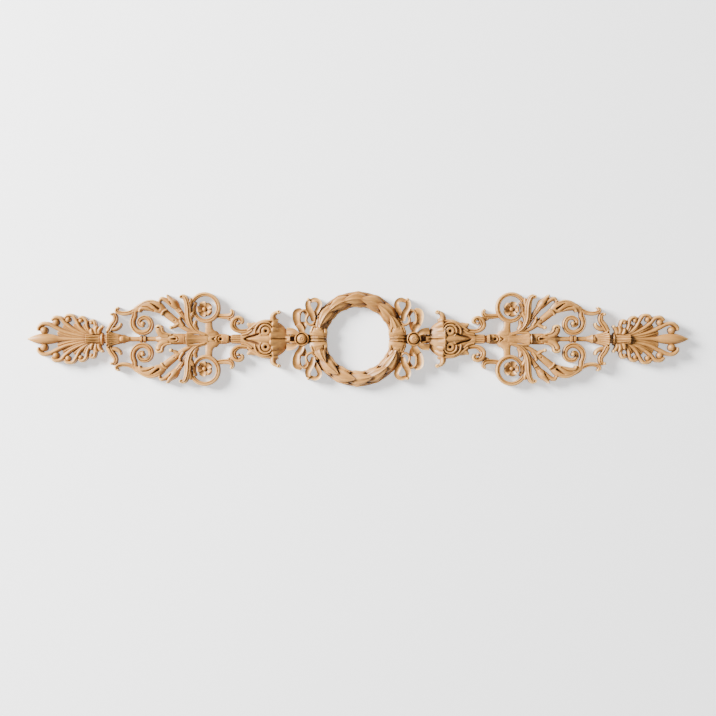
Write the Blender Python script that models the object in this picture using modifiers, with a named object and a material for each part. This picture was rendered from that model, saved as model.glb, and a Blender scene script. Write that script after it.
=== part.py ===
import bpy
import bmesh
import math
import numpy as np

OBJECT_NAME = "carved_insert"
MM = 0.001
MODULE = 0.0015         # the square that the carving is set out on
RING_MID = 0.0597       # wreath centre below the origin, which is the top of the wreath
BEHIND = 0.008          # strokes run this far behind the back before it is planed flat
BLOCK_SIZE = (1.2, 0.2, 0.5)
ROUGH_BACK = 0.006      # first cut behind the back, before the facets are evened out
FACET = 0.0013          # even facets that the fused body is rebuilt with,
KEPT_FACETS = 0.0158    # and the share of them that is kept

WREATH_RADIUS = 39.8    # modules, middle of the wreath tube
WREATH_HALF = 8.3       # modules, half the tube width
WREATH_HEIGHT = 14.0    # mm, relief of the tube under the leaves
LEAF_GROUPS = 6         # leaf groups on each half of the wreath
LEAF_PITCH = 25.2       # degrees from one group to the next
FIRST_TIP = 27          # degrees from the bow to the first leaf tip

# Leaves of a group: radius in modules, degrees behind the tip, length in degrees,
# half width in modules, height in mm.
LEAVES = {
    "mid": (39.9, 0, 31, 5.6, 19.5),
    "outer": (45.3, 11, 24, 2.9, 15.5),
    "inner": (34.2, 12, 27, 2.9, 15.5),
}

BUTTON_AT = 56.0        # modules, bow buttons
RING_CENTRE = (153.3, 31.3)
ROSETTE_CENTRE = (153.5, 29.8)
PETALS = 5
VOLUTE_CENTRE = (215.0, 15.3)
EYE_CENTRE = (92.0, 8.0)

# Cross sections of a stroke as (share of the half width, share of the shoulder drop).
SECTIONS = {
    "arch": [(-1, 1), (-0.55, 0), (0.55, 0), (1, 1)],
    "ridge": [(-1, 1), (0, 0), (1, 1)],
}
DROP_PER_WIDTH = 0.65   # how far a stroke's shoulders fall below its crown,
DROP_PER_HEIGHT = 0.45  # and never more than this share of its relief
WOOD_COLOUR = (0.58, 0.36, 0.19, 1)


def smooth(knots, steps):
    # Catmull-Rom curve through the knots, with this many pieces in each span.
    k = np.array(knots, float)
    k = np.vstack([2 * k[0] - k[1], k, 2 * k[-1] - k[-2]])
    out = []
    for a, b, c, d in zip(k[:-3], k[1:-2], k[2:-1], k[3:]):
        for t in np.arange(steps) / steps:
            bend = (2 * a - 5 * b + 4 * c - d) * t ** 2 + (3 * b - a - 3 * c + d) * t ** 3
            out.append(b + 0.5 * ((c - a) * t + bend))
    out.append(k[-2])
    return np.array(out)


def spiral(centre, angles, radii, halves, heights, count):
    # Points (u, v, half width, height) round a centre, every size eased along the turn.
    t = np.linspace(0, 1, count + 1)
    sizes = [np.interp(t, np.linspace(0, 1, len(s)), s) for s in (angles, radii, halves, heights)]
    a, r, half, height = sizes
    a = np.radians(a)
    return np.column_stack([centre[0] + r * np.cos(a), centre[1] + r * np.sin(a), half, height])


def stand_up(ob):
    # The carving is drawn lying down; this sets it upright, facing -Y.
    ob.rotation_euler.x = math.pi / 2
    ob.location.z = -RING_MID


def add_mirror(ob, mirror):
    # Repeat a stroke over the upright ("x") and the level ("z") middle line of the wreath.
    if mirror:
        mod = ob.modifiers.new("mirror", "MIRROR")
        mod.use_axis = ("x" in mirror, "z" in mirror, False)
        mod.use_mirror_merge = False
        mod.mirror_object = middle


def section(half, height, kind):
    # (offset, relief) points across a stroke, from under one side to under the other.
    drop = min(DROP_PER_WIDTH * half, DROP_PER_HEIGHT * height)
    deep = -BEHIND - height / 2
    top = [(x * half, height - d * drop) for x, d in SECTIONS[kind]]
    return [(-half, deep)] + top + [(half, deep)]


def stroke(name, points, mirror="xz", kind="arch", cyclic=False):
    # One carved band lofted along (u, v, half width in modules, height in mm) points,
    # with every section upright and square to the path.
    p = np.array(points, float) * (MODULE, MODULE, MODULE, MM)
    if cyclic:
        along = np.roll(p[:, :2], -1, 0) - np.roll(p[:, :2], 1, 0)
    else:
        along = np.gradient(p[:, :2], axis=0)
    along /= np.linalg.norm(along, axis=1)[:, None]
    bm = bmesh.new()
    rows = []
    for (x, y, half, height), (ax, ay) in zip(p, along):
        row = section(half, height, kind)
        rows.append([bm.verts.new((x - ay * offset, y + ax * offset, relief)) for offset, relief in row])
    if cyclic:
        rows.append(rows[0])
    else:
        bm.faces.new(rows[0])
        bm.faces.new(rows[-1][::-1])
    for one, two in zip(rows[:-1], rows[1:]):
        for k in range(len(one)):
            m = k - 1
            bm.faces.new((one[k], one[m], two[m], two[k]))
    if bm.calc_volume(signed=True) < 0:
        bmesh.ops.reverse_faces(bm, faces=bm.faces)
    mesh = bpy.data.meshes.new(name)
    bm.to_mesh(mesh)
    bm.free()
    ob = bpy.data.objects.new(name, mesh)
    carving.objects.link(ob)
    stand_up(ob)
    add_mirror(ob, mirror)
    return ob


def turned(name, centre, rings, mirror="xz", sides=8):
    # Round boss from (radius in modules, height in mm) points, crown first, screwed round its axis.
    profile = [(r * MODULE, h * MM) for r, h in rings]
    profile = [(0, profile[0][1])] + profile + [(profile[-1][0], -BEHIND), (0, -BEHIND)]
    mesh = bpy.data.meshes.new(name)
    mesh.from_pydata([(x, 0, z) for x, z in profile], [(i, i + 1) for i in range(len(profile) - 1)], [])
    ob = bpy.data.objects.new(name, mesh)
    carving.objects.link(ob)
    stand_up(ob)
    ob.location.x += centre[0] * MODULE
    ob.location.z += centre[1] * MODULE
    screw = ob.modifiers.new("turn", "SCREW")
    screw.steps = sides
    screw.render_steps = sides
    screw.use_merge_vertices = True
    screw.merge_threshold = 1e-5
    add_mirror(ob, mirror)
    return ob


def wreath():
    # Tube with leaves that overlap all the way round, the same after half a turn.
    rows = spiral((0, 0), (0, 352.5), (WREATH_RADIUS,), (WREATH_HALF,), (WREATH_HEIGHT,), 47)
    tube = stroke("wreath_tube", rows, mirror="", cyclic=True)
    for half_turn in (0, 180):
        for i in range(LEAF_GROUPS):
            tip = half_turn + FIRST_TIP + LEAF_PITCH * i
            for kind, (radius, back, length, half, height) in LEAVES.items():
                leaf(f"leaf_{kind}_{half_turn}_{i}", radius, tip - back, length, half, height)
    return tube


def leaf(name, radius, tip, length, half, height):
    # One pointed leaf lying on the tube, lifting towards its tip.
    halves = (0.45 * half, 0.95 * half, half, 0.72 * half, 0.12 * half)
    heights = (0.72 * height, 0.9 * height, height, 0.99 * height, 0.93 * height)
    points = spiral((0, 0), (tip - length, tip), (radius, radius), halves, heights, 4)
    stroke(name, points, mirror="", kind="ridge")


def cuffs():
    # Calyx cuffs and the two fillets where the wreath meets the bows.
    cuff = spiral((0, 0), (1.6, 15.5), (WREATH_RADIUS,), (8.7, 9.1, 8.2, 5.0), (18, 19, 18.5, 16.5), 3)
    stroke("cuff", cuff)
    stroke("fillet", [(30.9, 1.3, 0.7, 13), (35, 1.3, 0.7, 19.5), (44, 1.3, 0.7, 19.5),
                      (48.8, 1.3, 0.7, 13)])


def bow():
    # Ribbon bow between the wreath and the capital.
    turned("button", (BUTTON_AT, 0), [(1.2, 21.5), (3.4, 20.5), (5.4, 16), (6.6, 17), (7.2, 14)],
           mirror="x", sides=14)
    stroke("bow_bridge", [(44, 0, 4, 8), (56, 0, 5, 8), (66, 0, 4.5, 9)], mirror="x")
    stroke("pleat_front", [(61, 0, 3.4, 10), (67.2, 0, 3.8, 11), (68.6, 0, 4.4, 15), (72, 0, 4.2, 12)],
           mirror="x")
    stroke("pleat_mid", [(60.5, 4.5, 1.8, 15.5), (65.5, 7.6, 2.9, 14.5), (71.2, 6.6, 2.2, 12.5)])
    stroke("pleat_edge", [(59.6, 7, 1.0, 15), (62.8, 10, 1.3, 14.5), (65.6, 13.8, 0.9, 13.5)],
           kind="ridge")
    stroke("pleat_side", [(55.8, 6, 2.0, 14.5), (57.8, 11, 2.8, 15), (60.8, 15, 2.5, 14.5)])
    outer = smooth([(61, 13.5, 2.4, 14), (61.6, 20, 3.2, 15.5), (60.6, 27.2, 3.0, 15.5),
                    (55.5, 29.6, 1.2, 14)], 2)
    stroke("loop_band", outer)
    rim = smooth([(54.4, 8.5, 1.1, 14), (57.7, 16, 1.1, 17), (57.6, 24.5, 1.1, 17.5),
                  (53.4, 28.6, 1.2, 17.5),
                  (49.9, 24.4, 1.1, 17), (52, 18.6, 1.1, 16.5), (47.6, 14.2, 1.2, 16.5),
                  (43.4, 16.4, 1.1, 15.5)], 2)
    stroke("loop_rim", rim, kind="ridge")
    stroke("loop_inner", [(54.6, 9.5, 1.0, 10), (53.9, 14.5, 3.0, 11), (52.8, 19, 1.9, 11),
    (51.6, 25, 1.9, 11)])
    tail = smooth([(44.6, 18, 1.7, 13), (46.4, 25, 2.5, 15), (50.2, 32.6, 2.4, 16),
                   (49.8, 39.2, 2.1, 17)], 2)
    stroke("tail", tail)
    loop = smooth([(47.6, 38.4, 1.0, 13.5), (40.6, 39.2, 1.5, 15), (37.6, 34.6, 1.7, 15.5),
                   (39.8, 29.2, 1.8, 15.5),
                   (42.4, 23.6, 1.4, 13.5)], 2)
    stroke("small_loop", loop)


def capital():
    # Fluted cup with its round eyes, horns and C scrolls.
    body = [(71.3, 9.6, 12), (73.6, 13.6, 13), (78, 18, 15), (86.4, 20.6, 18), (87.6, 20.6, 16),
            (95, 19.4, 15), (103, 16.4, 13), (108, 15.6, 12), (110.8, 16.4, 11.5), (111.6, 9.2, 11.5),
            (117, 5.4, 11)]
    stroke("capital_body", [(u, 0, w, h) for u, w, h in body], mirror="x")
    stroke("capital_cup", [(71.6, 0, 7, 13), (80, 0, 9.5, 17), (86.8, 0, 11, 21), (87.9, 0, 10.6, 21),
                           (88.2, 0, 10, 14)], mirror="x")
    stroke("tongue", [(87, 0, 4.4, 17), (98, 0, 2.9, 16.5), (109, 0, 0.8, 14)],
           mirror="x", kind="ridge")
    turned("eye", EYE_CENTRE, [(1.4, 17), (3.6, 18), (5.2, 15.5)], sides=10)
    stroke("brow_inner", spiral(EYE_CENTRE, (150, -22), (7.3, 7.6, 9.3, 11.3), (0.7, 1.3, 0.8),
                                (17, 18, 15.5), 6), kind="ridge")
    stroke("brow_outer", spiral(EYE_CENTRE, (112, 6), (9.6, 10.6, 13.2), (1.2, 1.4, 0.8),
                                (17, 16, 14.5), 5), kind="ridge")
    horn = smooth([(83.6, 17.5, 3.6, 17.5), (82.9, 23.6, 2.9, 19), (79.1, 27.1, 1.6, 19)], 2)
    stroke("horn", horn)
    curl = smooth([(111, 7.4, 1.6, 11.5), (120, 8.2, 2.1, 12), (125, 12.6, 2.6, 14),
                   (124.2, 18.6, 2.3, 15.5),
                   (119, 21.2, 1.9, 15.5), (116.2, 17.8, 2.3, 15), (119.6, 15, 1.1, 15)], 2)
    stroke("c_scroll", curl)
    branch = smooth([(141, 23.4, 2.6, 12.5), (131, 22.2, 2.5, 13), (126, 25.6, 2.4, 14.5),
                     (126.6, 29.6, 1.0, 13.5)], 2)
    stroke("branch", branch)


def stem():
    # Everything threaded on the long middle line, from the neck to the last tip.
    sizes = [(111, 8, 11), (117, 5.3, 10.5), (118, 4.6, 10), (126, 4.6, 11), (130.4, 4.6, 14.5),
             (130.9, 5, 11), (141, 5.2, 11.5), (148.6, 6.2, 12.5), (150, 4.9, 11.5), (160, 4.2, 12.5),
             (173.6, 5.4, 18), (174.2, 5.4, 12.5), (183, 5.6, 14), (191, 5.1, 13.5), (197, 4.8, 13),
             (202.6, 2.5, 10), (212, 2.4, 10), (212.6, 3.4, 12.5), (218.4, 3.4, 12.5), (219, 2.4, 10),
             (228.4, 2.5, 10.5), (234.6, 4.4, 14.5), (235.2, 4.2, 10.5), (239.5, 5.2, 13),
             (249.4, 8.7, 19.5),
             (251.4, 8.4, 19.5), (252, 4.2, 12), (254.8, 4.2, 12), (255.2, 6.4, 14), (257, 6.4, 14.5),
             (257.4, 10.8, 13), (260.4, 12.9, 14.5), (265, 9.4, 16), (265.6, 5.4, 17), (271.6, 4.9, 20.5),
             (272.2, 3.6, 13.5), (298, 3.1, 14.5), (305, 4.6, 17), (312.5, 5.4, 18.5), (319, 4.8, 18.5),
             (325, 3.1, 16.5), (330.2, 0.5, 13.5)]
    stroke("stem", [(u, 0, w, h) for u, w, h in sizes], mirror="x")


def side_ring():
    # Open ring with its rosette, the tall leaf, the bud and the thick stem.
    ring = spiral(RING_CENTRE, (24, 262, 395), (13.6, 13.4, 9.6), (1.7, 1.8, 1.2), (14, 13.5, 9.5), 20)
    stroke("ring", ring)
    turned("rosette", ROSETTE_CENTRE, [(1.4, 14), (2.2, 9.5), (7.3, 9.5)], sides=15)
    for i in range(PETALS):
        turn = 2 * math.pi * i / PETALS
        at = (ROSETTE_CENTRE[0] + 5 * math.cos(turn), ROSETTE_CENTRE[1] + 5 * math.sin(turn))
        turned(f"petal_{i}", at, [(1.5, 13.5), (3.0, 11)], sides=7)
    stroke("post", [(149.4, 19, 3.0, 12.5), (149.3, 11.5, 3.2, 12.5), (147.4, 7, 5.6, 12),
                    (145, 3, 9, 11.5)])
    tall = smooth([(153, 4.6, 1.2, 12), (163.4, 10.4, 2.1, 13), (169.2, 20, 3.3, 15), (169.8, 30, 3.3, 16),
                   (171.6, 39, 2.3, 17), (176.4, 41.8, 1.2, 17)], 2)
    stroke("tall_leaf", tall)
    stroke("leaf_lobe_up", [(168.4, 18, 1.9, 13.5), (166, 23.4, 1.6, 14.5), (164, 26, 0.8, 13.5)],
           kind="ridge")
    stroke("leaf_lobe_low", [(163.4, 10.6, 1.5, 12.5), (163.9, 15, 1.4, 13.5), (162.3, 18.8, 0.8, 13)],
           kind="ridge")
    thin = smooth([(164.6, 7.2, 1.3, 11.5), (172.4, 18.6, 1.9, 12.5), (181.4, 31.4, 2.7, 13.5)], 2)
    stroke("bud_stem", thin)
    bud = smooth([(181, 31.6, 2.8, 13), (184.8, 36, 4.3, 16.5), (190.6, 44, 0.9, 14.5)], 2)
    stroke("bud", bud, kind="ridge")
    hook = smooth([(186.6, 34.2, 1.5, 14), (193, 39.3, 2.0, 15.5), (198.2, 37.4, 1.1, 15)], 2)
    stroke("bud_hook", hook, kind="ridge")
    thick = smooth([(165.6, 6, 1.9, 11.5), (173, 10.8, 2.4, 12.5), (183, 19.2, 3.6, 14),
                    (195, 28, 3.4, 14)], 2)
    stroke("thick_stem", thick)
    stroke("node_up", [(177.6, 15.6, 2.4, 14), (178, 20.4, 1.4, 14.5)], kind="ridge")
    stroke("node_low", [(181, 14.4, 2.6, 14), (186.6, 11.2, 1.3, 14.5)], kind="ridge")


def scrolls():
    # Bell husk, big volute and the tail leaf beyond it.
    bell = smooth([(192.6, 26.8, 3.0, 13), (201, 31.4, 5.6, 16.5), (211, 33.6, 3.9, 16),
                   (221.6, 29.6, 2.5, 15)], 2)
    stroke("bell", bell)
    stroke("bell_lip", [(191.4, 28.8, 0.8, 15.5), (194.2, 26.8, 0.8, 16.5), (196, 23.6, 0.8, 15.5)],
           kind="ridge")
    lead = [(219, 31, 2.2, 14.5), (223, 27.6, 2.2, 15)]
    turn = spiral(VOLUTE_CENTRE, (40, -480), (11.4, 9.2, 8.4, 7.4, 5.2, 2.6),
    (2.2, 2.2, 2.1, 1.7, 1.3, 1.1),
                  (15, 14.5, 14, 14.5, 16, 17.5), 19)
    stroke("volute", list(map(tuple, lead)) + list(map(tuple, turn)))
    tail = smooth([(222.6, 28.6, 1.8, 14), (232, 25.2, 1.7, 14), (240.8, 27.8, 1.5, 15),
                   (240.4, 32.2, 0.9, 14.5)], 2)
    stroke("tail_leaf", tail)
    stroke("fleur_hook", [(195.6, 1, 3.6, 13.5), (198.2, 6, 3.0, 15), (198.9, 10.2, 3.2, 16.5),
                          (198.8, 12.8, 2.2, 15)])
    arm = smooth([(248.6, 6.8, 2.1, 14.5), (243.6, 17, 1.9, 15), (242.4, 23.6, 1.7, 16),
                  (246.4, 25, 1.2, 15.5)], 2)
    stroke("arm", arm)
    low = smooth([(247, 9, 1.7, 13.5), (240, 10.6, 1.6, 14), (236.9, 16.2, 0.9, 13.5)], 2)
    stroke("arm_low", low)


def palmette():
    # Five lobes each side that curl over small balls, on a thinner web.
    stroke("web", [(264, 6, 5, 10), (274, 8.4, 5.6, 10), (286, 9, 5.4, 10), (297, 10.4, 3.4, 10)])
    lobes = [
        ([(272, 2.2, 1.2, 13), (296, 8.8, 1.5, 14.5), (309, 15, 1.7, 16), (317.6, 13.4, 1.6, 16.5),
          (319.6, 8.6, 1.1, 16)], (313.6, 8.6), 3.9, 17.5),
        ([(271, 3.6, 1.0, 13), (289, 13, 1.3, 14.5), (295.6, 20.4, 1.4, 15.5), (303.6, 21.2, 1.4, 15.5),
          (307, 17.4, 0.9, 15)], (301.8, 16.6), 3.5, 16.5),
        ([(270, 4.6, 1.0, 13), (279.6, 13.6, 1.2, 14.5), (281.4, 21, 1.2, 15), (289, 24, 1.2, 15),
          (294.2, 20.6, 0.8, 14.5)], (289.6, 19.4), 2.8, 15.5),
        ([(268.6, 6, 1.2, 13.5), (269.4, 15.6, 1.1, 14.5), (272, 21.4, 1.0, 15), (279.4, 20.8, 0.8, 14.5)],
         (276.8, 18.8), 2.2, 15),
        ([(265, 7, 1.8, 14), (261.2, 14.6, 1.4, 14.5), (264.4, 19, 1.1, 14.5), (268.8, 17.6, 0.8, 14)],
         (265.8, 16.4), 1.7, 15),
    ]
    for i, (rib, at, radius, height) in enumerate(lobes):
        stroke(f"rib_{i}", smooth(rib, 2), kind="ridge")
        turned(f"ball_{i}", at, [(0.55 * radius, height), (radius, 0.75 * height)])


def planing_block(name, behind):
    # The tool that planes the back flat, this far behind it.
    bpy.ops.mesh.primitive_cube_add(size=1, location=(0, behind + BLOCK_SIZE[1] / 2, -RING_MID))
    block = bpy.context.object
    block.name = name
    block.scale = BLOCK_SIZE
    bpy.ops.object.transform_apply(location=False, rotation=False, scale=True)
    block.users_collection[0].objects.unlink(block)
    cutters.objects.link(block)
    return block


def cut(ob, name, operation, tool):
    mod = ob.modifiers.new(name, "BOOLEAN")
    mod.operation = operation
    mod.solver = "MANIFOLD"
    mod.object = tool
    tool.hide_render = True
    tool.display_type = "WIRE"


def finish(tube):
    # All strokes fused into one body, its facets evened out, and its back planed flat.
    carving.objects.unlink(tube)
    parts.objects.link(tube)
    tube.name = OBJECT_NAME
    for tool in carving.objects:
        cut(tube, tool.name, "UNION", tool)
    cut(tube, "rough_back", "DIFFERENCE", planing_block("rough_block", ROUGH_BACK))
    even = tube.modifiers.new("even_facets", "REMESH")
    even.mode = "VOXEL"
    even.voxel_size = FACET
    fewer = tube.modifiers.new("fewer_facets", "DECIMATE")
    fewer.ratio = KEPT_FACETS
    cut(tube, "plane_back", "DIFFERENCE", planing_block("back_block", 0))
    wood = bpy.data.materials.new("wood")
    wood.use_nodes = True
    shader = wood.node_tree.nodes["Principled BSDF"]
    shader.inputs["Base Color"].default_value = WOOD_COLOUR
    shader.inputs["Roughness"].default_value = 0.55
    shader.inputs["Metallic"].default_value = 0
    tube.data.materials.append(wood)


for ob in list(bpy.data.objects):
    bpy.data.objects.remove(ob)
scene = bpy.context.scene
parts = bpy.data.collections.new(OBJECT_NAME)
cutters = bpy.data.collections.new(OBJECT_NAME + "_cutters")
carving = bpy.data.collections.new(OBJECT_NAME + "_strokes")
scene.collection.children.link(parts)
scene.collection.children.link(cutters)
cutters.children.link(carving)
middle = bpy.data.objects.new("middle", None)
cutters.objects.link(middle)
stand_up(middle)

stem()
cuffs()
bow()
capital()
side_ring()
scrolls()
palmette()
finish(wreath())
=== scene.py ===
import bpy
import itertools
import math
import numpy as np
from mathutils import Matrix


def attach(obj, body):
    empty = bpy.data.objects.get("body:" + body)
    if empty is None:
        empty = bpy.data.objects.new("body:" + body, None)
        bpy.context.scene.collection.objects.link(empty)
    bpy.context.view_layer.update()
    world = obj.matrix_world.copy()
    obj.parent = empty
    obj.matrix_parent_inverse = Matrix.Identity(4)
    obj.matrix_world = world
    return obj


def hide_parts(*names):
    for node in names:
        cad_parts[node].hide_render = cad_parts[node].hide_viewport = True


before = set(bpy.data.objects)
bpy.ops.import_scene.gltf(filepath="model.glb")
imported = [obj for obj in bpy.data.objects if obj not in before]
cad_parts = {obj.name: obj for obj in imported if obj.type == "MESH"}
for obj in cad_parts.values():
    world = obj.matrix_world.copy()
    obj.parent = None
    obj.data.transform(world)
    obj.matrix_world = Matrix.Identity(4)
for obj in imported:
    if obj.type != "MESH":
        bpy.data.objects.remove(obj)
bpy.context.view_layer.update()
cadNode = "carved_insert"
print("frame loaded")

# The carving is drawn lying down on a net of modules: u to the right, v up, both from the
# wreath's centre, and relief towards the viewer. A knot is (u, v, half width, relief in mm).
layout = {
    "module": 0.0015,           # metres
    "mm": 0.001,                # metres
    "ringMid": 0.0597,          # metres from the origin down to the wreath's centre
    "alongStep": 0.45,          # modules between two sections of a stroke
    "acrossStep": 0.42,         # modules between two points of a section
    "swell": 0.28,              # modules added to a thin stroke's half width
    "sharpAngle": 48,           # degrees
    "backStep": 0.002,          # mm between the backs of one shell and the next
    "backLean": 0.9,            # a face whose normal has more +Y than this is part of the back
    "highest": 21.4,            # mm
    "mapCell": 0.5,             # modules, for the height map that finds the hollows
    "mapHalf": (340, 60),       # modules
    "mapBlur": 5,               # cells
    "sectionPoints": (9, 95),   # fewest and most in one section
    "spiralSections": 8,        # fewest along a spiral
    "crowding": 0.25,           # how far a section's points crowd towards its edges
    "mostDrop": 0.5,            # share of the relief that an edge may fall
    "grooveHalf": 2.6,          # mm, the half width from which grooves have their full depth
    "lowest": 1.0,              # mm, the least relief of any stroke
    "endDrop": 0.8,             # how far a round end comes down, as a share of its half width
    "endWidth": 0.06,           # share of its width that a round end keeps
    "ballPoints": 12,
    "ballSpan": (-0.35, 0.97 * math.pi / 2),    # radians above its widest line
    "gougeStep": 0.3,           # modules between two points of a gouged line
    "gougeFrom": 4,             # mm, lower ground isn't gouged
    "gougeFloor": 2.0,          # mm, no gouge goes deeper
    "toneSpan": 7,              # mm of height for a tone of 1
}

# Cross sections. drop is how far the edges fall, as a share of the half width, and power how
# late they fall (1 is a roof, 2 a round, 5 a flat band with soft edges). Each groove is
# (place from -1 to 1, width, depth in mm), and a negative depth is a raised bead.
profiles = {
    "roll": {"drop": 0.95, "power": 2.3, "grooves": []},
    "soft": {"drop": 0.60, "power": 2.6, "grooves": []},
    "dome": {"drop": 0.26, "power": 2.8, "grooves": []},
    "roof": {"drop": 1.00, "power": 1.15, "grooves": []},
    "flat": {"drop": 0.30, "power": 5.0, "grooves": []},
    "beaded": {"drop": 0.45, "power": 4.0, "grooves": [(0.30, 0.17, 2.4)]},
    "leaf": {"drop": 0.42, "power": 3.2, "grooves": [(0.0, 0.09, -0.7), (-0.42, 0.25, 0.9),
                                                     (0.42, 0.25, 0.9)]},
    "veined": {"drop": 0.75, "power": 1.7, "grooves": [(0.0, 0.14, 1.3)]},
    "hollow": {"drop": -0.45, "power": 2.0, "grooves": []},
}

carving = {}        # shells of each piece, by its name
cuts = []           # gouged lines of knots (u, v, width, depth in mm), the same in all four quarters


def easePath(knots, step):
    # Catmull-Rom through the knots: p(t) = b + ((c-a)t + (2a-5b+4c-d)t^2 + (3b-a-3c+d)t^3)/2
    # in every span, with as many points as its length asks for.
    k = np.array(knots, float)
    k = np.vstack([2 * k[0] - k[1], k, 2 * k[-1] - k[-2]])
    spans = []
    for a, b, c, d in zip(k[:-3], k[1:-2], k[2:-1], k[3:]):
        count = max(2, int(np.hypot(*(c - b)[:2]) / step))
        t = (np.arange(count) / count)[:, None]
        bend = (c - a) * t + (2 * a - 5 * b + 4 * c - d) * t**2 + (3 * b - a - 3 * c + d) * t**3
        spans.append(b + 0.5 * bend)
    return np.vstack(spans + [k[-2:-1]])


def straightPath(knots, step):
    # Straight runs between the knots: p(t) = b + (c-b)t, for parts with crisp steps.
    k = np.array(knots, float)
    spans = []
    for b, c in zip(k[:-1], k[1:]):
        count = max(1, int(np.hypot(*(c - b)[:2]) / step))
        t = (np.arange(count) / count)[:, None]
        spans.append(b + (c - b) * t)
    return np.vstack(spans + [k[-1:]])


def spiralPath(centre, angles, radii, halves, reliefs, step):
    # p(a) = centre + r(a)(cos a, sin a), with r, half width and relief eased along the turn.
    turn = math.radians(abs(angles[-1] - angles[0])) * max(radii)
    t = np.linspace(0, 1, max(layout["spiralSections"], int(turn / step)))
    rows = []
    for values in (angles, radii, halves, reliefs):
        rows.append(np.interp(t, np.linspace(0, 1, len(values)), values))
    angle, radius, half, relief = rows
    u = centre[0] + radius * np.cos(np.radians(angle))
    v = centre[1] + radius * np.sin(np.radians(angle))
    return np.column_stack([u, v, half, relief])


def onMiddle(rows):
    # Knots of a stroke along the middle line, from rows of (u, half width, relief).
    return [(u, 0, half, relief) for u, half, relief in rows]


def sectionHeight(s, half, relief, profile):
    # h(s) = relief - drop |s|^power - sum of depth exp(-((s-place)/width)^2), all in mm, with
    # the grooves shallower where the stroke is thin.
    p = profiles[profile]
    halfMm = half * layout["module"] / layout["mm"]
    drop = np.minimum(p["drop"] * halfMm, layout["mostDrop"] * relief)
    fade = np.minimum(1, halfMm / layout["grooveHalf"])
    height = relief - drop * np.abs(s) ** p["power"]
    for place, width, depth in p["grooves"]:
        height = height - depth * np.exp(-(((s - place) / width) ** 2)) * fade
    return height


def gridFaces(rows, columns, wrapRows):
    # Quads of a grid whose columns close on themselves, and whose rows may.
    i = np.arange(rows if wrapRows else rows - 1)[:, None]
    j = np.arange(columns)[None, :]
    nextI = (i + 1) % rows
    nextJ = (j + 1) % columns
    quads = np.stack([i * columns + j, i * columns + nextJ, nextI * columns + nextJ, nextI * columns + j], -1)
    return quads.reshape(-1, 4)


def carveStroke(path, profile="roll", ends=(0, 0), closed=False, flip=False, swell=None):
    # S(t, s) = c(t) + s half(t) n(t) + h(s, t) up: a section carried along a path, closed by its
    # flat back. Over the last `ends` modules the width follows a quarter circle to a round end.
    # Points across the section lie at s = (1+c) x - c x^3, which crowds them at its edges.
    p = np.array(path, float)
    along = np.roll(p[:, :2], -1, 0) - np.roll(p[:, :2], 1, 0) if closed else np.gradient(p[:, :2], axis=0)
    along /= np.linalg.norm(along, axis=1)[:, None]
    normal = np.column_stack([-along[:, 1], along[:, 0]])
    length = np.concatenate([[0], np.cumsum(np.hypot(*np.diff(p[:, :2], axis=0).T))])
    half = p[:, 2] + (layout["swell"] if swell is None else swell)
    relief = p[:, 3].copy()
    for reach, far in ((ends[0], length), (ends[1], length[-1] - length)):
        if reach:
            rest = np.clip(1 - far / reach, 0, 1)
            half *= np.maximum(np.sqrt(1 - rest**2), layout["endWidth"])
            relief -= layout["endDrop"] * p[:, 2] * layout["module"] / layout["mm"] * rest**2
    wanted = 2 * math.ceil(half.max() / layout["acrossStep"]) + 1
    across = int(np.clip(wanted, *layout["sectionPoints"]))
    x = np.linspace(-1, 1, across)[None, :] * (-1 if flip else 1)
    s = (1 + layout["crowding"]) * x - layout["crowding"] * x**3
    height = np.maximum(sectionHeight(s, half[:, None], relief[:, None], profile), layout["lowest"])
    rows, columns = len(p), across + 2
    verts = np.zeros((rows, columns, 3))
    verts[:, 1:-1, :2] = p[:, None, :2] + (s * half[:, None])[:, :, None] * normal[:, None, :]
    verts[:, 1:-1, 2] = height
    verts[:, 0, :2] = verts[:, 1, :2]
    verts[:, -1, :2] = verts[:, -2, :2]
    faces = gridFaces(rows, columns, closed)[:, ::-1]
    caps = []
    if not closed:
        last = (rows - 1) * columns
        caps = [np.arange(columns), np.arange(last, last + columns)[::-1]]
    if flip:
        faces = faces[:, ::-1]
        caps = [cap[::-1] for cap in caps]
    return verts.reshape(-1, 3), faces, caps


def carveBoss(centre, rings, sides):
    # B(r, a) = centre + r(cos a, sin a) + h(r) up, from (radius, relief in mm) rings, the
    # outermost first.
    r, h = (np.array(ring, float)[:, None] for ring in zip(*rings))
    a = np.linspace(0, 2 * np.pi, sides, endpoint=False)[None, :]
    verts = np.zeros((len(r) + 1, sides, 3))
    radius = np.vstack([r[:1], r])
    verts[:, :, 0] = centre[0] + radius * np.cos(a)
    verts[:, :, 1] = centre[1] + radius * np.sin(a)
    verts[1:, :, 2] = h
    last = len(r) * sides
    caps = [np.arange(sides)[::-1], np.arange(last, last + sides)]
    return verts.reshape(-1, 3), gridFaces(len(r) + 1, sides, False), caps


def carveBall(centre, radius, relief, sides=36):
    # Round profile: r = R cos b, h = relief - R (1 - sin b).
    b = np.linspace(*layout["ballSpan"], layout["ballPoints"])
    fall = radius * layout["module"] / layout["mm"]
    return carveBoss(centre, list(zip(radius * np.cos(b), relief - fall * (1 - np.sin(b)))), sides)


def mirrored(shells, over):
    # The same shells again over the upright ("x") and the level ("z") middle line.
    for axis, key in enumerate("xz"):
        if key in over:
            sign = np.ones(3)
            sign[axis] = -1
            shells = shells + [(verts * sign, faces[:, ::-1], [cap[::-1] for cap in caps])
                               for verts, faces, caps in shells]
    return shells


def strokes(table):
    # Every row of a table is (knots, profile, length of the round start, of the round end).
    return [carveStroke(easePath(knots, step), profile, (start, end))
            for knots, profile, start, end in table]


step = layout["alongStep"]

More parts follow.
